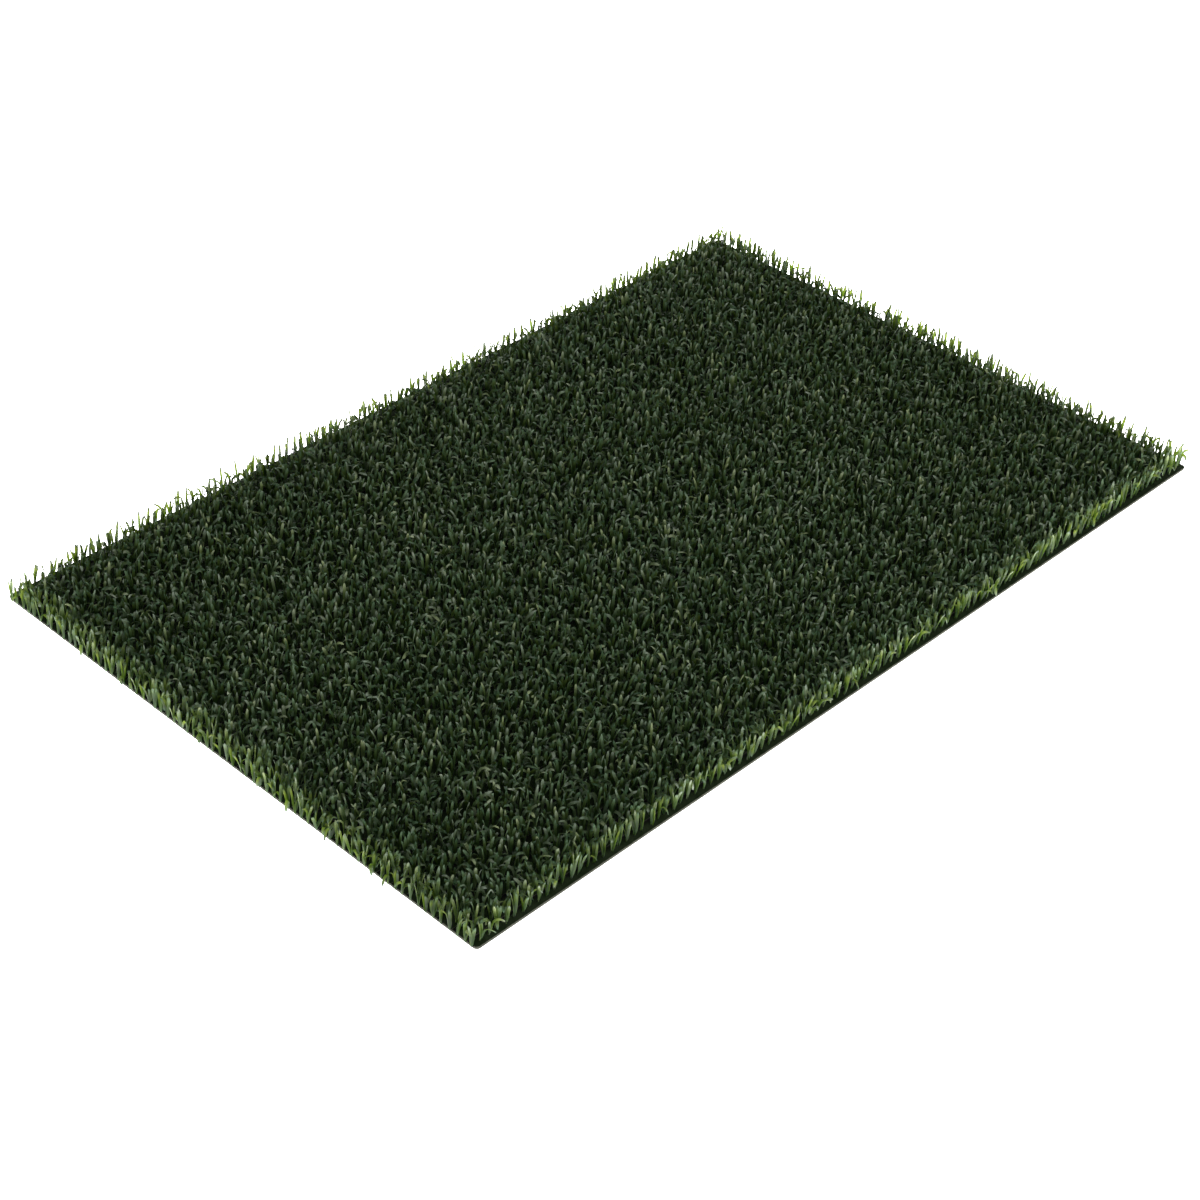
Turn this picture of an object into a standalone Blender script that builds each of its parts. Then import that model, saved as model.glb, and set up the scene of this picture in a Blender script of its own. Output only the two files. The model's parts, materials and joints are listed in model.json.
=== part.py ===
"""Golf hitting mat: a panel of coarse artificial turf on a thin black rubber base.

Units are metres and +Z is up. The origin is the middle of the underside, +X runs along the
long side and the tuft rows, and +Y runs across the rows. From the floor up, the pieces are:

    rubber_base      non-slip sheet with a trough in its top that locks each row's stitches
    primary_backing  sheet that the rows are stitched through, with one slot for each row
    tuft_row_NN      one row of turf: stitch bar under the backing, neck, and pile above it
"""

import bmesh
import bpy

MM = 0.001

# Panel
MAT_LENGTH = 600 * MM
MAT_WIDTH = 400 * MM
CORNER_RADIUS = 2.5 * MM
CORNER_SEGMENTS = 3

# Layers, from the floor up, with a clearance between touching pieces
CLEARANCE = 0.3 * MM
BASE_THICKNESS = 0.9 * MM
BACKING_THICKNESS = 0.4 * MM

# Tuft grid, the same pitch both ways; the insets run from the mat's edge to a tuft's centre
TUFT_PITCH = 11.38 * MM
ROW_COUNT = 35
TUFTS_PER_ROW = 53
FIRST_TUFT_INSET = 2.4 * MM
FIRST_ROW_INSET = 6.2 * MM

# One row in cross-section. The pile is widest at the bush level, a share of its height; the
# notches between the crests of neighbouring tufts reach down most of the way to that level
PILE_HEIGHT = 12.5 * MM
BUSH_LEVEL = 0.6
NOTCH_SHARE = 0.7
STITCH_HEIGHT = 0.3 * MM
STITCH_WIDTH = 3.0 * MM
NECK_WIDTH = 1.6 * MM
FOOT_WIDTH = 3.4 * MM
BUSH_WIDTH = 9.0 * MM
CREST_WIDTH = 4.4 * MM
BUSH_OVERHANG = 2.3 * MM

# Levels that follow from the layers
BACKING_BOTTOM = BASE_THICKNESS + CLEARANCE
BACKING_TOP = BACKING_BOTTOM + BACKING_THICKNESS
STITCH_TOP = BASE_THICKNESS
STITCH_BOTTOM = STITCH_TOP - STITCH_HEIGHT
TROUGH_FLOOR = STITCH_BOTTOM - CLEARANCE
PILE_FOOT = BACKING_TOP + CLEARANCE
PILE_TOP = PILE_FOOT + PILE_HEIGHT
BUSH_Z = PILE_FOOT + BUSH_LEVEL * PILE_HEIGHT

# Places that follow from the grid
FIRST_TUFT_X = FIRST_TUFT_INSET - MAT_LENGTH / 2
LAST_TUFT_X = FIRST_TUFT_X + (TUFTS_PER_ROW - 1) * TUFT_PITCH
FIRST_ROW_Y = FIRST_ROW_INSET - MAT_WIDTH / 2
ROW_CENTRE_X = (FIRST_TUFT_X + LAST_TUFT_X) / 2
ROW_LENGTH = LAST_TUFT_X - FIRST_TUFT_X + FOOT_WIDTH


def clear_scene():
    for old in list(bpy.data.objects):
        bpy.data.objects.remove(old, do_unlink=True)


def material(name, colour, roughness):
    """A plain non-metallic surface."""
    made = bpy.data.materials.new(name)
    made.use_nodes = True
    shader = made.node_tree.nodes["Principled BSDF"]
    shader.inputs["Base Color"].default_value = (*colour, 1.0)
    shader.inputs["Roughness"].default_value = roughness
    shader.inputs["Metallic"].default_value = 0.0
    return made


def add_object(name, mesh, surface=None):
    made = bpy.data.objects.new(name, mesh)
    bpy.context.scene.collection.objects.link(made)
    if surface:
        mesh.materials.append(surface)
    return made


def mesh_from(name, shape):
    """Turns a bmesh into a mesh whose faces point outwards."""
    bmesh.ops.recalc_face_normals(shape, faces=shape.faces)
    mesh = bpy.data.meshes.new(name)
    shape.to_mesh(mesh)
    shape.free()
    return mesh


def add_block(shape, centre, size):
    """Adds a rectangular block to a bmesh and returns its vertices."""
    verts = bmesh.ops.create_cube(shape, size=1.0)["verts"]
    bmesh.ops.scale(shape, vec=size, verts=verts)
    bmesh.ops.translate(shape, vec=centre, verts=verts)
    return verts


def row_y(row):
    return FIRST_ROW_Y + row * TUFT_PITCH


def sheet_mesh(name, bottom, thickness):
    """A rectangular sheet of the mat's outline with rounded corners."""
    shape = bmesh.new()
    add_block(shape, (0, 0, bottom + thickness / 2), (MAT_LENGTH, MAT_WIDTH, thickness))
    uprights = [edge for edge in shape.edges if edge.verts[0].co.xy == edge.verts[1].co.xy]
    bmesh.ops.bevel(
        shape,
        geom=uprights,
        offset=CORNER_RADIUS,
        segments=CORNER_SEGMENTS,
        profile=0.5,
        affect="EDGES",
    )
    return mesh_from(name, shape)


def cut(target, name, blocks):
    """Cuts a set of separate blocks, each a centre and a size, out of an object."""
    shape = bmesh.new()
    for centre, size in blocks:
        add_block(shape, centre, size)
    cutter = add_object(name, mesh_from(name, shape))
    cutter.hide_render = True
    cutter.display_type = "WIRE"
    boolean = target.modifiers.new(name, "BOOLEAN")
    boolean.operation = "DIFFERENCE"
    boolean.solver = "EXACT"
    boolean.object = cutter


def make_rubber_base(surface):
    """The bottom sheet, flat below, with a trough along each row in its top."""
    base = add_object("rubber_base", sheet_mesh("rubber_base", 0, BASE_THICKNESS), surface)
    depth = BASE_THICKNESS - TROUGH_FLOOR
    size = (ROW_LENGTH + 2 * CLEARANCE, STITCH_WIDTH + 2 * CLEARANCE, 2 * depth)
    troughs = [((ROW_CENTRE_X, row_y(row), BASE_THICKNESS), size) for row in range(ROW_COUNT)]
    cut(base, "trough_cutter", troughs)


def make_primary_backing(surface):
    """The top sheet. Each slot goes right through and stops short of both short edges."""
    mesh = sheet_mesh("primary_backing", BACKING_BOTTOM, BACKING_THICKNESS)
    backing = add_object("primary_backing", mesh, surface)
    size = (ROW_LENGTH + 2 * CLEARANCE, NECK_WIDTH + 2 * CLEARANCE, 3 * BACKING_THICKNESS)
    middle = BACKING_BOTTOM + BACKING_THICKNESS / 2
    slots = [((ROW_CENTRE_X, row_y(row), middle), size) for row in range(ROW_COUNT)]
    cut(backing, "slot_cutter", slots)


def crest_points():
    """The row's skyline: place along the row, width across it and height, end to end."""
    notch_width = CREST_WIDTH + NOTCH_SHARE * (BUSH_WIDTH - CREST_WIDTH)
    notch_z = PILE_TOP - NOTCH_SHARE * (PILE_TOP - BUSH_Z)
    points = []
    for tuft in range(TUFTS_PER_ROW):
        x = FIRST_TUFT_X + tuft * TUFT_PITCH - ROW_CENTRE_X
        points.append((x, CREST_WIDTH, PILE_TOP))
        points.append((x + TUFT_PITCH / 2, notch_width, notch_z))
    return points[:-1]


def tuft_row_mesh():
    """One row about its own centre line: pairs of points climb its two sides, level by level.

    The stitch bar, neck and foot end in one upright plane. The bush stands out beyond it at
    both ends, as it does along both sides. The notches keep to the slope of the sides, so each
    side of the pile is a single flat face with a toothed top.
    """
    foot_end = ROW_LENGTH / 2
    bush_end = foot_end - FOOT_WIDTH / 2 + BUSH_OVERHANG
    levels = [
        (STITCH_BOTTOM, STITCH_WIDTH, foot_end),
        (STITCH_TOP, STITCH_WIDTH, foot_end),
        (STITCH_TOP, NECK_WIDTH, foot_end),
        (PILE_FOOT, NECK_WIDTH, foot_end),
        (PILE_FOOT, FOOT_WIDTH, foot_end),
        (BUSH_Z, BUSH_WIDTH, bush_end),
    ]
    bush = len(levels) - 1
    shape = bmesh.new()

    def pair(x, width, z):
        """Two points facing each other across the row."""
        return [shape.verts.new((x, side * width / 2, z)) for side in (-1, 1)]

    starts = [pair(-end, width, z) for z, width, end in levels]
    stops = [pair(end, width, z) for z, width, end in levels]
    crest = [pair(*point) for point in crest_points()]

    shape.faces.new(starts[0] + stops[0][::-1])
    for lower in range(bush):
        upper = lower + 1
        for side in (0, 1):
            near = [starts[lower][side], stops[lower][side]]
            shape.faces.new(near + [stops[upper][side], starts[upper][side]])
    for side in (0, 1):
        skyline = [points[side] for points in reversed(crest)]
        shape.faces.new([starts[bush][side], stops[bush][side]] + skyline)
    for first, second in zip(crest, crest[1:]):
        shape.faces.new(first + second[::-1])
    for ends, tip in ((starts, crest[0]), (stops, crest[-1])):
        climb = [points[0] for points in ends[:bush]]
        descent = [points[1] for points in reversed(ends[:bush])]
        shape.faces.new(climb + descent)
        shape.faces.new(ends[bush - 1] + ends[bush][::-1])
        shape.faces.new(ends[bush] + tip[::-1])
    return mesh_from("tuft_row", shape)


def make_tuft_rows(surface):
    """All rows share one mesh; row 01 is nearest the -Y edge."""
    mesh = tuft_row_mesh()
    mesh.materials.append(surface)
    for row in range(ROW_COUNT):
        made = add_object(f"tuft_row_{row + 1:02d}", mesh)
        made.location = (ROW_CENTRE_X, row_y(row), 0)


def main():
    clear_scene()
    make_rubber_base(material("base_rubber", (0.020, 0.019, 0.018), 0.75))
    make_primary_backing(material("backing_cloth", (0.012, 0.013, 0.012), 0.85))
    make_tuft_rows(material("turf_green", (0.045, 0.105, 0.032), 0.45))


main()
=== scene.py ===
"""Looks of the golf hitting mat: stiff plastic blades in tufts, row by row, on a black backing.

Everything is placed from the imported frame, in metres. Each row of blades stands for its CAD
row, and both black sheets keep their CAD shape and place.
"""

import json
import math

import bmesh
import bpy
import numpy as np
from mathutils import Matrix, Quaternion, Vector

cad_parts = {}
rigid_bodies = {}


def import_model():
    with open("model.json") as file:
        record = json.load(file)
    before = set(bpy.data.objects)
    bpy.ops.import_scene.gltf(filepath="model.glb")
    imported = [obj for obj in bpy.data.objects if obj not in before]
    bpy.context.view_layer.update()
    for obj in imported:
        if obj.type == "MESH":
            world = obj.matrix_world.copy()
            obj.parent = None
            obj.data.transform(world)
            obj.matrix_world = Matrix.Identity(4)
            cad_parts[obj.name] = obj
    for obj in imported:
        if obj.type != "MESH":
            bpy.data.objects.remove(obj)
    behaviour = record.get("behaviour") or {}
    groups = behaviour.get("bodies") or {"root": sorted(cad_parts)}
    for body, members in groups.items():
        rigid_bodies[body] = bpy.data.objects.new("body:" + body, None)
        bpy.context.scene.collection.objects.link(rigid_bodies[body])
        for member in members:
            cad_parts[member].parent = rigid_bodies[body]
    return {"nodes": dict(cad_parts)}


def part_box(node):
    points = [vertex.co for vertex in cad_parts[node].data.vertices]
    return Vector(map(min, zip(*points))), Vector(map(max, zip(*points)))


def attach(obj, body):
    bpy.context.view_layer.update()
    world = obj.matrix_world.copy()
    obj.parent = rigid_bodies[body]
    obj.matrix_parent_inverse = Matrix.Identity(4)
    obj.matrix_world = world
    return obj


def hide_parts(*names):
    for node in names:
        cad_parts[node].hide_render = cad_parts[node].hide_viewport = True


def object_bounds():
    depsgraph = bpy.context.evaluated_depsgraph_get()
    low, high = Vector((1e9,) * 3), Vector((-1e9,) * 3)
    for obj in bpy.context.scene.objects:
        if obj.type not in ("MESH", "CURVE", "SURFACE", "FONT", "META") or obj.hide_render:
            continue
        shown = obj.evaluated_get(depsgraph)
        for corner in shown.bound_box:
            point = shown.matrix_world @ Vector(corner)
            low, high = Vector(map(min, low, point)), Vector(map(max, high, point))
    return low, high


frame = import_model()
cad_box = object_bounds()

MM = 0.001
SEED = 7

# The grid of tufts, as the CAD rows are cut to it
ROW_NODES = sorted(name for name in frame["nodes"] if name.startswith("tuft_row_"))
TUFTS_PER_ROW = 53
TUFT_PITCH = 11.38 * MM

# Each tuft has four feet, one towards each corner of its square, with a few blades on each
FOOT_OFFSET = 2.75 * MM
FOOT_JITTER = 0.40 * MM
FOOT_RADIUS = 0.5 * MM
BLADES_PER_FOOT = (3, 4)

# Roots past the cut short edge, or this close to it, are moved just outside it and lower down
CUT_MARGIN = 0.2 * MM
CUT_CLEARANCE = 0.05 * MM
CUT_ROOT_HEIGHT = 0.35 * MM

# Size of a blade: (usual, spread) of its length, and (least, most) of its length and width
BLADE_LENGTH = (13.4 * MM, 1.7 * MM)
BLADE_LENGTH_LIMITS = (9.0 * MM, 18.0 * MM)
BLADE_WIDTH = (1.45 * MM, 1.9 * MM)
BLADE_THICKNESS = 0.32 * MM
TIP_THINNING = 0.45

# Outline of a blade, in shares of its width and length: narrow root, round tip
ROOT_WIDTH = 0.50
ROOT_REACH = 0.42
TIP_START = 0.72
TIP_NARROWING = 0.90
TIP_SHAPE = 2.6

# Cross-section of a blade, a shallow channel: its depth in widths, and the place of its rims
CHANNEL_DEPTH = 0.17
RIM_PLACE = 0.86
RIM_THICKNESS = 0.8

# Course of a blade, in degrees: (usual, spread) of its lean and bow, (least, most) of its hook
FIRST_LEAN = (5, 4)
BOW = (12, 14)
HOOK = (70, 180)

# Where along the blade the hook starts and how much of its length it takes, and who has one
HOOK_START = (0.34, 0.64)
HOOK_SPAN = (0.22, 0.42)
HOOKED_SHARE = 0.60

# Spreads in radians: place round the foot, direction, change of direction, and twist
AZIMUTH_SPREAD = 0.3
HEADING_SPREAD = 0.5
WANDER_SPREAD = 0.35
TWIST_SPREAD = 0.45

# All blades lean a little towards +X, and more so at the root
COMMON_LEAN = 0.09
ROOT_LEAN = 0.40
ROOT_LEAN_REACH = 0.35

# Near the outline of the mat few neighbours press the blades over, so they stand straighter
EDGE_BAND = 14.0 * MM
EDGE_HOOKED_SHARE = 0.22
EDGE_STRAIGHTENING = 0.5

# Mesh of a blade: places of its sections along it, and points round each section
SECTIONS = np.array([0.0, 0.18, 0.38, 0.54, 0.67, 0.79, 0.90, 1.0])
RING = 6

# Texture map that baking uses: one square cell per blade, with a share of it left clear
MAP_NAME = "OFBake"
CELL_MARGIN = 0.1
CAP_ROOM = 0.12

# A blade's own shade, from the darkest blade to the lightest
BLADE_SHADES = [
    (0.00, (0.010, 0.030, 0.010)),
    (0.35, (0.024, 0.056, 0.022)),
    (0.65, (0.066, 0.118, 0.055)),
    (0.88, (0.118, 0.160, 0.102)),
    (1.00, (0.155, 0.210, 0.086)),
]

# Painted light along a blade, as factors from root to tip: the paler root is a painted reflection
# of the floor, the darker middle is painted shade deep in the pile, and the much lighter tip is
# partly wear and partly painted highlight
PAINTED_LIGHT_AND_WEAR_ALONG_BLADE = [
    (0.00, (1.80, 1.60, 2.00)),
    (0.16, (0.85, 0.90, 0.80)),
    (0.50, (0.34, 0.44, 0.26)),
    (0.74, (0.90, 0.90, 0.90)),
    (0.92, (2.90, 2.60, 3.20)),
]

# Broad patches over the whole mat, as factors, and their scale
TURF_PATCHES = [(0.35, (0.85, 0.88, 0.85)), (0.65, (1.12, 1.08, 1.10))]
PATCH_SCALE = 9.0

# Light that passes through a blade, from root to tip, and its share inside and at the edge
BLADE_GLOW = [
    (0.20, (0.42, 0.56, 0.14)),
    (0.50, (0.50, 0.66, 0.18)),
    (0.78, (0.76, 0.86, 0.34)),
    (1.00, (0.28, 0.30, 0.26)),
]
GLOW_SHARE = (0.22, 0.48)

# Surface of a blade
BLADE_IOR = 1.5
BLADE_GLOSS = 0.28
GRAIN_SCALE = 900.0
GRAIN_DETAIL = 2.0
GRAIN_STRENGTH = 0.25
GRAIN_DEPTH = 0.2 * MM
BLADE_ROUGHNESS = (0.36, 0.56)

# Black sheets: material, darkest and lightest colour of the faces, and scale of the weave
SHEETS = {
    "rubber_base": ("base_black", (0.014, 0.015, 0.012), (0.030, 0.033, 0.026), 1400.0),
    # The backing is black cloth; its green tint is painted light, green light bounced between the
    # blades into the shade under them
    "primary_backing": ("cloth_black", (0.010, 0.020, 0.006), (0.028, 0.040, 0.020), 700.0),
}
# Upright cut sides of the sheets, darkest and lightest: painted light, a lighter grey than the
# faces as if lit more
PAINTED_LIT_SIDE_DARK = (0.075, 0.078, 0.062)
PAINTED_LIT_SIDE_LIGHT = (0.130, 0.134, 0.106)
SHEET_GLOSS = 0.05
MOTTLE_SCALE = 160.0
MOTTLE_DETAIL = 5.0
MOTTLE_ROUGHNESS = 0.6
MOTTLE_ENDS = (0.3, 0.7)
WEAVE_STRENGTH = 0.5
WEAVE_DEPTH = 0.3 * MM
SHEET_ROUGHNESS = (0.62, 0.9)

# Camera: the point that it aims at, from the middle of the mat, then its direction and distance
AIM_X = -56.6 * MM
AIM_Y = -40.8 * MM
CAMERA_AZIMUTH = math.radians(-45.1)
CAMERA_ELEVATION = math.radians(37.25)
CAMERA_ROLL = math.radians(0.46)
CAMERA_DISTANCE = 1.4676
CAMERA_LENS = 76.0
CAMERA_SENSOR = 36.0
CAMERA_CLIP = (0.05, 50.0)

# Studio: its back lies along this direction. Floor and walls give more light there than in front
TO_THE_BACK = (0.707, 0.707, 0.0)
FLOOR_GLOW = (1.6, 7.5)
FLOOR_REACH = 0.6
FLOOR_RADIUS = 12.0
FLOOR_SEGMENTS = 96
FLOOR_DROP = 0.05 * MM
FLOOR_COLOUR = (0.92, 0.92, 0.92, 1.0)
FLOOR_ROUGHNESS = 0.9
FLOOR_LIGHT = (1.0, 1.0, 1.0, 1.0)
WALL_GLOW = (0.6, 1.9)
WALL_REACH = 1.0
WHITE_WALL = (1.0, 1.0, 1.0)
DIM_CEILING = (0.14, 0.14, 0.13)
WALL_TOP = 0.45
CEILING_EDGE = 0.78

# Softboxes: place, point aimed at, width and height, and power in watts
SOFTBOXES = {
    "back_softbox": ((0.9, 1.3, 0.9), (0.0, 0.0, 0.0), (1.2, 0.8), 3.0),
    "near_softbox": ((-0.45, -1.0, 0.75), (-0.2, -0.15, 0.0), (0.8, 0.5), 3.6),
}


# ---------------------------------------------------------------- small sums


def random_source(*keys):
    """A repeatable source of random numbers for one part of the model."""
    return np.random.default_rng([SEED, *keys])


def smooth(value):
    """Eases from 0 to 1."""
    value = np.clip(value, 0, 1)
    return value * value * (3 - 2 * value)


def unit(vectors):
    return vectors / np.linalg.norm(vectors, axis=-1, keepdims=True)


def along_axes(x, y, z):
    return np.stack(np.broadcast_arrays(x, y, z), -1)


def add_object(name, mesh, surface):
    made = bpy.data.objects.new(name, mesh)
    bpy.context.scene.collection.objects.link(made)
    mesh.materials.append(surface)
    return made


# ---------------------------------------------------------------- material nodes


def new_material(name):
    made = bpy.data.materials.new(name)
    made.use_nodes = True
    tree = made.node_tree
    return made, tree, tree.nodes["Principled BSDF"]


def add_node(tree, kind, **values):
    node = tree.nodes.new(kind)
    for key, value in values.items():
        setattr(node, key, value)
    return node


def attribute(tree, name):
    return add_node(tree, "ShaderNodeAttribute", attribute_name=name).outputs["Fac"]


def object_place(tree):
    return tree.nodes.new("ShaderNodeTexCoord").outputs["Object"]


def ramp(tree, factor, stops):
    """A colour ramp through (position, colour) stops."""
    node = tree.nodes.new("ShaderNodeValToRGB")
    tree.links.new(factor, node.inputs["Fac"])
    elements = node.color_ramp.elements
    while len(elements) < len(stops):
        elements.new(0.5)
    for element, (position, colour) in zip(elements, stops):
        element.position = position
        element.color = (*colour, 1.0)
    return node.outputs["Color"]


def multiply(tree, first, second):
    """The product of two colours."""
    node = add_node(tree, "ShaderNodeMix", data_type="RGBA", blend_type="MULTIPLY")
    node.inputs["Factor"].default_value = 1.0
    tree.links.new(first, node.inputs[6])
    tree.links.new(second, node.inputs[7])
    return node.outputs[2]


def blend(tree, share, first, second):
    """From the first colour to the second as the share goes from 0 to 1."""
    node = add_node(tree, "ShaderNodeMix", data_type="RGBA", blend_type="MIX")
    tree.links.new(share, node.inputs["Factor"])
    tree.links.new(first, node.inputs[6])
    tree.links.new(second, node.inputs[7])
    return node.outputs[2]


def noise(tree, vector, scale, detail=3.0, roughness=0.5):
    node = tree.nodes.new("ShaderNodeTexNoise")
    node.inputs["Scale"].default_value = scale
    node.inputs["Detail"].default_value = detail
    node.inputs["Roughness"].default_value = roughness
    tree.links.new(vector, node.inputs["Vector"])
    return node.outputs["Fac"]


def remap(tree, value, low, high):
    """Maps 0..1 to low..high."""
    node = tree.nodes.new("ShaderNodeMapRange")
    node.inputs["To Min"].default_value = low
    node.inputs["To Max"].default_value = high
    tree.links.new(value, node.inputs["Value"])
    return node.outputs["Result"]


def bump(tree, height, strength, distance):
    node = tree.nodes.new("ShaderNodeBump")
    node.inputs["Strength"].default_value = strength
    node.inputs["Distance"].default_value = distance
    tree.links.new(height, node.inputs["Height"])
    return node.outputs["Normal"]


# ---------------------------------------------------------------- materials


def add_glow(tree, shader, along):
    """Mixes in light that passes through the blade, more of it near the edge of the mat."""
    glow = tree.nodes.new("ShaderNodeBsdfTranslucent")
    tree.links.new(ramp(tree, along, BLADE_GLOW), glow.inputs["Color"])
    both = tree.nodes.new("ShaderNodeMixShader")
    tree.links.new(remap(tree, attribute(tree, "edge"), *GLOW_SHARE), both.inputs["Fac"])
    tree.links.new(shader.outputs["BSDF"], both.inputs[1])
    tree.links.new(glow.outputs["BSDF"], both.inputs[2])
    tree.links.new(both.outputs["Shader"], tree.nodes["Material Output"].inputs["Surface"])


def blade_material():
    """Dark green polythene: each blade has its own shade, and along it painted light: a paler root
    as painted reflection, painted shade in the middle, and tips lighter, partly worn and partly
    painted highlight.
    """
    made, tree, shader = new_material("turf_blades")
    along = attribute(tree, "along")
    place = object_place(tree)
    shade = ramp(tree, attribute(tree, "tone"), BLADE_SHADES)
    # Painted light: the factors along the blade paint a reflection at the root, shade in the middle
    # and a highlight at the tip
    colour = multiply(tree, shade, ramp(tree, along, PAINTED_LIGHT_AND_WEAR_ALONG_BLADE))
    patches = ramp(tree, noise(tree, place, PATCH_SCALE), TURF_PATCHES)
    tree.links.new(multiply(tree, colour, patches), shader.inputs["Base Color"])
    grain = noise(tree, place, GRAIN_SCALE, GRAIN_DETAIL)
    tree.links.new(remap(tree, grain, *BLADE_ROUGHNESS), shader.inputs["Roughness"])
    tree.links.new(bump(tree, grain, GRAIN_STRENGTH, GRAIN_DEPTH), shader.inputs["Normal"])
    shader.inputs["IOR"].default_value = BLADE_IOR
    shader.inputs["Specular IOR Level"].default_value = BLADE_GLOSS
    add_glow(tree, shader, along)
    return made


def painted_lit_side_share(tree):
    """1 on the upright cut sides of a sheet, which are painted lighter as painted light, 0 on its
    flat faces.
    """
    parts = tree.nodes.new("ShaderNodeSeparateXYZ")
    facing = tree.nodes.new("ShaderNodeNewGeometry").outputs["Normal"]
    tree.links.new(facing, parts.inputs["Vector"])
    upright = add_node(tree, "ShaderNodeMath", operation="ABSOLUTE")
    tree.links.new(parts.outputs["Z"], upright.inputs[0])
    return remap(tree, upright.outputs["Value"], 1.0, 0.0)


def black_sheet_material(name, dark, light, weave):
    """A matt black sheet, mottled, grained or woven, with its upright cut sides painted a lighter
    grey as painted light.
    """
    made, tree, shader = new_material(name)
    place = object_place(tree)
    mottle = noise(tree, place, MOTTLE_SCALE, MOTTLE_DETAIL, MOTTLE_ROUGHNESS)
    face = ramp(tree, mottle, list(zip(MOTTLE_ENDS, (dark, light))))
    # Painted light: the upright sides get a lighter grey than the faces
    side = ramp(tree, mottle, list(zip(MOTTLE_ENDS, (PAINTED_LIT_SIDE_DARK, PAINTED_LIT_SIDE_LIGHT))))
    tree.links.new(blend(tree, painted_lit_side_share(tree), face, side), shader.inputs["Base Color"])
    tree.links.new(remap(tree, mottle, *SHEET_ROUGHNESS), shader.inputs["Roughness"])
    shader.inputs["Specular IOR Level"].default_value = SHEET_GLOSS
    threads = bump(tree, noise(tree, place, weave), WEAVE_STRENGTH, WEAVE_DEPTH)
    tree.links.new(threads, shader.inputs["Normal"])
    return made


# ---------------------------------------------------------------- shape of the blades


def blade_profile(s):
    """Half width along the blade, as a share of its full half width."""
    root = ROOT_WIDTH + (1 - ROOT_WIDTH) * smooth(s / ROOT_REACH)
    tip = np.clip((s - TIP_START) / (1 - TIP_START), 0, 1)
    return root * np.sqrt(1.0 - TIP_NARROWING * tip**TIP_SHAPE)


def blade_section(half_width, thickness):
    """Six points round a shallow channel: outer side left to right, inner side back again."""
    hollow = CHANNEL_DEPTH * 2 * half_width
    none = 0 * half_width
    rim_place = RIM_PLACE * half_width
    rim_lift = hollow + RIM_THICKNESS * thickness
    across = [-half_width, none, half_width, rim_place, none, -rim_place]
    lift = [hollow, none, hollow, rim_lift, thickness, rim_lift]
    return np.stack(across, -1), np.stack(lift, -1)


def edge_share(places):
    """1 at the outline of the mat, easing to 0 across the edge band."""
    low, high = np.array(cad_box[0][:2]), np.array(cad_box[1][:2])
    inside = np.minimum(places[:, :2] - low, high - places[:, :2]).min(axis=1)
    return 1 - smooth(inside / EDGE_BAND)


def plant_roots(source, feet):
    """Roots of the blades round each foot: the place, direction and foot of each blade.

    Roots that would stand past the cut short edge of the mat stand on the cut itself.
    """
    blades = source.integers(BLADES_PER_FOOT[0], BLADES_PER_FOOT[1] + 1, len(feet))
    foot = np.repeat(np.arange(len(feet)), blades)
    place = np.arange(len(foot)) - np.repeat(np.cumsum(blades) - blades, blades)
    turn = source.uniform(0, 2 * math.pi, len(feet))[foot]
    even = turn + 2 * math.pi * place / blades[foot]
    azimuth = even + source.normal(0, AZIMUTH_SPREAD, len(foot))
    root = feet[foot] + FOOT_RADIUS * along_axes(np.cos(azimuth), np.sin(azimuth), 0.0)
    cut_edge = cad_box[0][0]
    on_cut = root[:, 0] < cut_edge + CUT_MARGIN
    root[on_cut, 0] = cut_edge - CUT_CLEARANCE
    root[on_cut, 2] = CUT_ROOT_HEIGHT
    return root, azimuth, foot, on_cut


def set_course(source, azimuth, edge, on_cut):
    """Each blade's length, heading and direction along it.

    It leans, bows along its length, and some blades hook over near the tip.
    """
    count = len(azimuth)
    s = SECTIONS[None, :]
    heading = azimuth + source.normal(0, HEADING_SPREAD, count)
    length = np.clip(source.normal(*BLADE_LENGTH, count), *BLADE_LENGTH_LIMITS)
    first_lean = np.radians(source.normal(*FIRST_LEAN, count))
    bow = np.radians(source.normal(*BOW, count)) * (1 - EDGE_STRAIGHTENING * edge)
    hooked = source.random(count) < HOOKED_SHARE + (EDGE_HOOKED_SHARE - HOOKED_SHARE) * edge
    hook = np.radians(np.where(hooked, source.uniform(*HOOK, count), 0.0))
    hook_start = source.uniform(*HOOK_START, count)
    hook_span = source.uniform(*HOOK_SPAN, count)
    wander = source.normal(0, WANDER_SPREAD, count)
    lean = first_lean[:, None] + bow[:, None] * s
    lean = lean + hook[:, None] * smooth((s - hook_start[:, None]) / hook_span[:, None])
    heading = heading[:, None] + wander[:, None] * s
    out = np.sin(lean)
    tangent = along_axes(out * np.cos(heading), out * np.sin(heading), np.cos(lean))
    root_lean = np.where(on_cut, 0.0, ROOT_LEAN)
    fading = np.clip(1 - s / ROOT_LEAN_REACH, 0, 1) ** 2
    tangent[..., 0] += COMMON_LEAN + root_lean[:, None] * fading
    return length, heading, unit(tangent)


def trace_paths(root, length, tangent):
    """The middle line of each blade, section by section."""
    middle = (tangent[:, 1:] + tangent[:, :-1]) / 2
    step = length[:, None, None] * np.diff(SECTIONS)[None, :, None]
    climb = np.cumsum(middle * step, axis=1)
    start = np.zeros((len(root), 1, 3))
    return root[:, None, :] + np.concatenate([start, climb], axis=1)


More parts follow.
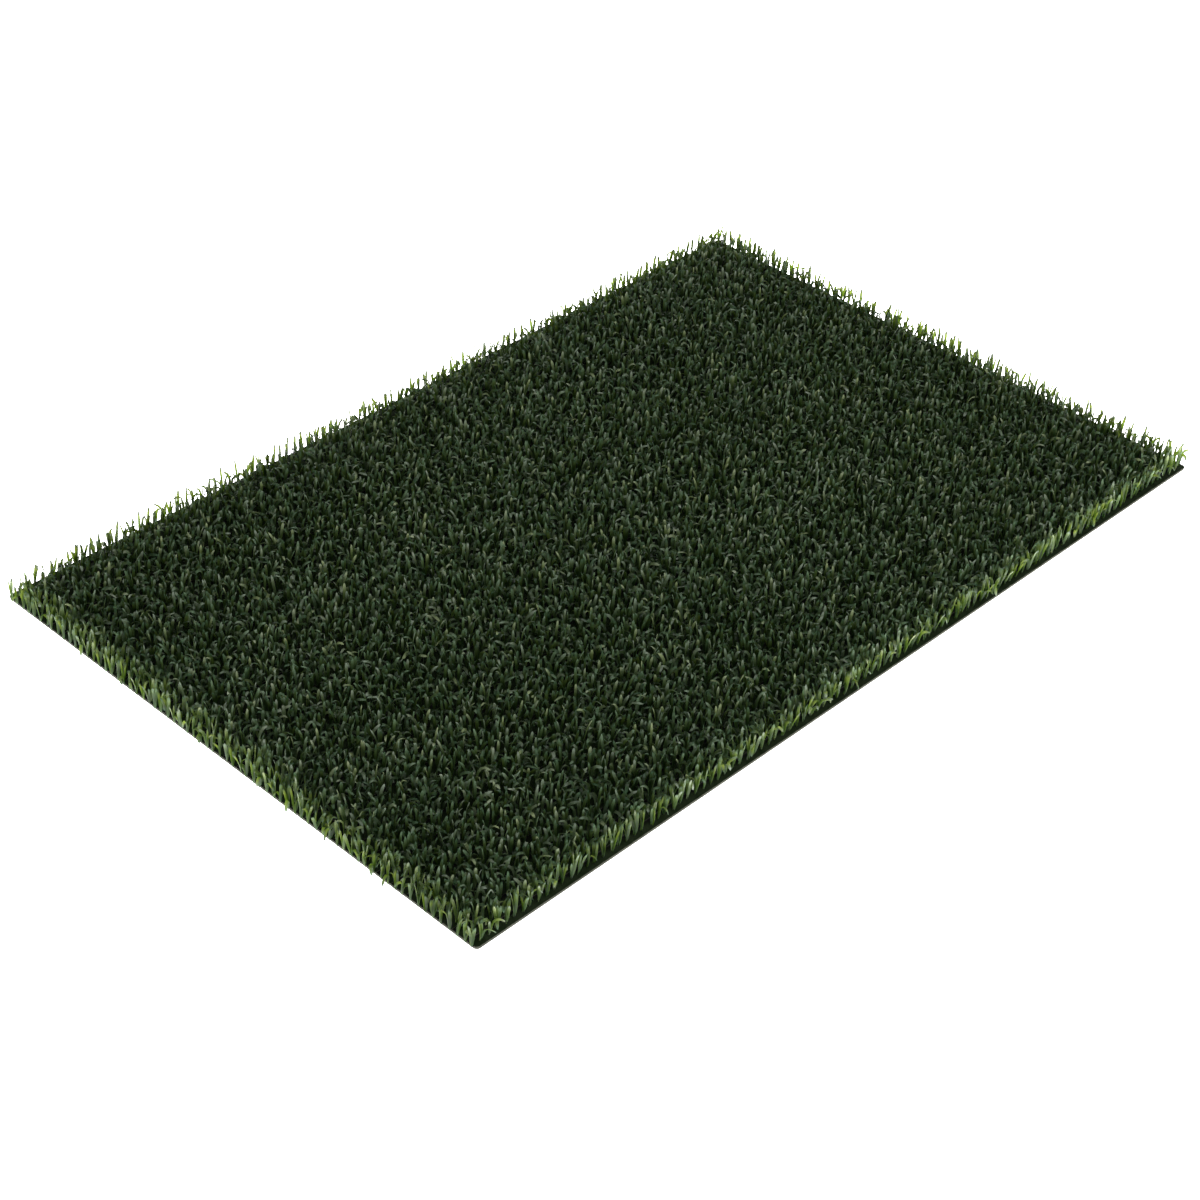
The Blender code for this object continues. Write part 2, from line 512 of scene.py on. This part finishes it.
def wrap_sections(source, path, heading, tangent):
    """Points of each blade's sections round its middle line, with some twist along it."""
    count = len(path)
    s = SECTIONS[None, :]
    side = along_axes(-np.sin(heading), np.cos(heading), 0.0)
    side = unit(side - np.sum(side * tangent, -1, keepdims=True) * tangent)
    normal = np.cross(side, tangent)
    turned = source.normal(0, TWIST_SPREAD, count)[:, None]
    twist = turned + source.normal(0, TWIST_SPREAD, count)[:, None] * s
    across = np.cos(twist)[..., None] * side + np.sin(twist)[..., None] * normal
    facing = np.cross(tangent, across)
    width = source.uniform(*BLADE_WIDTH, count)
    half = width[:, None] / 2 * blade_profile(s)
    thick = BLADE_THICKNESS * (1 - TIP_THINNING * s**2) * np.ones((count, 1))
    section_across, section_lift = blade_section(half, thick)
    points = path[:, :, None, :] + section_across[..., None] * across[:, :, None, :]
    return points + section_lift[..., None] * facing[:, :, None, :]


def grow_blades(source, feet):
    """Points of the blades on many feet, as blades x sections x ring x 3, and their edge shares."""
    root, azimuth, foot, on_cut = plant_roots(source, feet)
    edge = edge_share(feet)[foot]
    length, heading, tangent = set_course(source, azimuth, edge, on_cut)
    path = trace_paths(root, length, tangent)
    return wrap_sections(source, path, heading, tangent), edge


# ---------------------------------------------------------------- mesh of the blades


def blade_faces(count):
    """Closed skins: quads round each blade, and a cap at each end."""
    k = np.arange(RING)
    following = (k + 1) % RING
    quads = []
    for section in range(len(SECTIONS) - 1):
        low = section * RING
        high = low + RING
        quads.append(np.stack([low + k, low + following, high + following, high + k], -1))
    top = (len(SECTIONS) - 1) * RING
    quads.append(np.array([[3, 2, 1, 4], [4, 1, 0, 5]]))
    quads.append(top + np.array([[4, 1, 2, 3], [5, 0, 1, 4]]))
    quads = np.concatenate(quads)
    first = np.arange(count)[:, None, None] * len(SECTIONS) * RING
    return (quads[None] + first).reshape(-1, 4)


def mesh_from_quads(name, points, faces):
    mesh = bpy.data.meshes.new(name)
    mesh.vertices.add(len(points))
    mesh.vertices.foreach_set("co", points.astype(np.float32).ravel())
    mesh.loops.add(faces.size)
    mesh.loops.foreach_set("vertex_index", faces.astype(np.int32).ravel())
    mesh.polygons.add(len(faces))
    mesh.polygons.foreach_set("loop_start", np.arange(0, faces.size, 4, dtype=np.int32))
    mesh.polygons.foreach_set("loop_total", np.full(len(faces), 4, dtype=np.int32))
    mesh.update(calc_edges=True)
    mesh.validate()
    return mesh


def crease_along(mesh):
    """Smooth over each blade's two sides, crisp where they meet at its edges."""
    ends = np.zeros(2 * len(mesh.edges), dtype=np.int32)
    mesh.edges.foreach_get("vertices", ends)
    corner = ends.reshape(-1, 2) % RING
    mesh.shade_smooth()
    crisp = mesh.attributes.new("sharp_edge", "BOOLEAN", "EDGE")
    lengthwise = corner[:, 0] == corner[:, 1]
    middle = corner[:, 0] % 3 == 1
    crisp.data.foreach_set("value", lengthwise & ~middle)


def lay_out_blades(mesh, count):
    """Gives each blade a cell of the texture map: its length runs up the cell, its ring across."""
    k = np.arange(RING)
    left, right = k / RING, (k + 1) / RING
    cells = []
    for low, high in zip(SECTIONS, SECTIONS[1:]):
        u = np.stack([left, right, right, left], -1)
        v = np.broadcast_to([low, low, high, high], u.shape)
        cells.append(np.stack([u, v], -1))
    for low, high in ((-CAP_ROOM, 0.0), (1.0, 1.0 + CAP_ROOM)):
        for start in (0.0, 0.5):
            end = start + 0.5
            cells.append(np.array([[[start, low], [end, low], [end, high], [start, high]]]))
    cell = np.concatenate(cells)
    cell[..., 1] = (cell[..., 1] + CAP_ROOM) / (1 + 2 * CAP_ROOM)
    columns = math.ceil(math.sqrt(count))
    blade = np.arange(count)
    corner = np.stack([blade % columns, blade // columns], -1)
    inside = CELL_MARGIN + (1 - 2 * CELL_MARGIN) * cell
    places = (corner[:, None, None, :] + inside[None]) / columns
    layer = mesh.uv_layers.new(name=MAP_NAME)
    layer.data.foreach_set("uv", places.astype(np.float32).ravel())


def add_values(mesh, name, values):
    """A number at each point of the mesh, for its material to read."""
    layer = mesh.attributes.new(name, "FLOAT", "POINT")
    layer.data.foreach_set("value", values.astype(np.float32).ravel())


# ---------------------------------------------------------------- pieces


def place_feet(source, node):
    """Four feet to each tuft, along the CAD row's centre line and on top of the backing."""
    low, high = (Vector(corner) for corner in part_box(node))
    centre = (low + high) / 2
    first = centre.x - (TUFTS_PER_ROW - 1) / 2 * TUFT_PITCH
    foot_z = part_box("primary_backing")[1][2]
    tufts = first + np.arange(TUFTS_PER_ROW) * TUFT_PITCH
    sides = np.array([-FOOT_OFFSET, FOOT_OFFSET])
    x, y = np.meshgrid((tufts[:, None] + sides).ravel(), centre.y + sides)
    feet = along_axes(x.ravel(), y.ravel(), foot_z)
    feet[:, :2] += source.normal(0, FOOT_JITTER, (len(feet), 2))
    return feet


def make_turf_row(index, node, surface):
    """The blades of one row, as one piece that replaces the CAD row."""
    source = random_source(index)
    points, edge = grow_blades(source, place_feet(source, node))
    count = len(points)
    per_blade = len(SECTIONS) * RING
    mesh = mesh_from_quads(f"turf_{node}", points.reshape(-1, 3), blade_faces(count))
    add_values(mesh, "tone", np.repeat(source.random(count), per_blade))
    add_values(mesh, "along", np.tile(np.repeat(SECTIONS, RING), count))
    add_values(mesh, "edge", np.repeat(edge, per_blade))
    lay_out_blades(mesh, count)
    crease_along(mesh)
    made = add_object(f"turf_{node}", mesh, surface)
    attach(made, "root")
    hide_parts(node)


def make_turf():
    surface = blade_material()
    for index, node in enumerate(ROW_NODES):
        make_turf_row(index, node, surface)


def dress_sheets():
    """Gives each black sheet, a CAD solid, its material."""
    for node, look in SHEETS.items():
        sheet = bpy.data.objects[node]
        sheet.material_slots[0].material = black_sheet_material(*look)


# ---------------------------------------------------------------- camera, floor and light


def make_camera():
    """Camera 45 degrees round from the long side, looking down on the near corner."""
    low, high = (Vector(corner) for corner in cad_box)
    aim = Vector(((low.x + high.x) / 2 + AIM_X, (low.y + high.y) / 2 + AIM_Y, low.z))
    level_share = math.cos(CAMERA_ELEVATION)
    back_x = math.sin(CAMERA_AZIMUTH) * level_share
    back_y = -math.cos(CAMERA_AZIMUTH) * level_share
    back = Vector((back_x, back_y, math.sin(CAMERA_ELEVATION)))
    data = bpy.data.cameras.new("camera")
    data.lens = CAMERA_LENS
    data.sensor_width = CAMERA_SENSOR
    data.clip_start, data.clip_end = CAMERA_CLIP
    camera = bpy.data.objects.new("camera", data)
    camera.location = aim + CAMERA_DISTANCE * back
    upright = (-back).to_track_quat("-Z", "Y")
    camera.rotation_euler = (Quaternion(back, CAMERA_ROLL) @ upright).to_euler()
    bpy.context.scene.collection.objects.link(camera)
    bpy.context.scene.camera = camera


def back_share(tree, place, reach):
    """0 at the studio's front to 1 at its back, changing over this reach each way."""
    along = add_node(tree, "ShaderNodeVectorMath", operation="DOT_PRODUCT")
    along.inputs[1].default_value = TO_THE_BACK
    tree.links.new(place, along.inputs[0])
    share = tree.nodes.new("ShaderNodeMapRange")
    share.inputs["From Min"].default_value = -reach
    share.inputs["From Max"].default_value = reach
    tree.links.new(along.outputs["Value"], share.inputs["Value"])
    return share.outputs["Result"]


def make_floor():
    """A pale round floor that gives light of its own."""
    shape = bmesh.new()
    bmesh.ops.create_circle(shape, cap_ends=True, radius=FLOOR_RADIUS, segments=FLOOR_SEGMENTS)
    mesh = bpy.data.meshes.new("floor")
    shape.to_mesh(mesh)
    shape.free()
    made, tree, shader = new_material("pale_floor")
    shader.inputs["Base Color"].default_value = FLOOR_COLOUR
    shader.inputs["Roughness"].default_value = FLOOR_ROUGHNESS
    shader.inputs["Emission Color"].default_value = FLOOR_LIGHT
    glow = remap(tree, back_share(tree, object_place(tree), FLOOR_REACH), *FLOOR_GLOW)
    tree.links.new(glow, shader.inputs["Emission Strength"])
    floor = add_object("floor", mesh, made)
    floor.location.z = cad_box[0][2] - FLOOR_DROP


def make_world():
    """White walls under a dim ceiling."""
    world = bpy.data.worlds.new("studio")
    world.use_nodes = True
    tree = world.node_tree
    direction = tree.nodes.new("ShaderNodeTexCoord").outputs["Generated"]
    parts = tree.nodes.new("ShaderNodeSeparateXYZ")
    tree.links.new(direction, parts.inputs["Vector"])
    walls = [(0.0, WHITE_WALL), (WALL_TOP, WHITE_WALL)]
    ceiling = [(CEILING_EDGE, DIM_CEILING), (1.0, DIM_CEILING)]
    light = ramp(tree, parts.outputs["Z"], walls + ceiling)
    background = tree.nodes["Background"]
    tree.links.new(light, background.inputs["Color"])
    strength = remap(tree, back_share(tree, direction, WALL_REACH), *WALL_GLOW)
    tree.links.new(strength, background.inputs["Strength"])
    bpy.context.scene.world = world


def add_softbox(name, position, target, size, power):
    data = bpy.data.lights.new(name, "AREA")
    data.shape = "RECTANGLE"
    data.size, data.size_y = size
    data.energy = power
    light = bpy.data.objects.new(name, data)
    light.location = position
    direction = Vector(target) - Vector(position)
    light.rotation_euler = direction.to_track_quat("-Z", "Y").to_euler()
    bpy.context.scene.collection.objects.link(light)


def make_studio():
    bpy.context.scene.view_settings.view_transform = "Standard"
    make_camera()
    make_floor()
    make_world()
    for name, values in SOFTBOXES.items():
        add_softbox(name, *values)


def main():
    make_studio()
    make_turf()
    dress_sheets()


main()
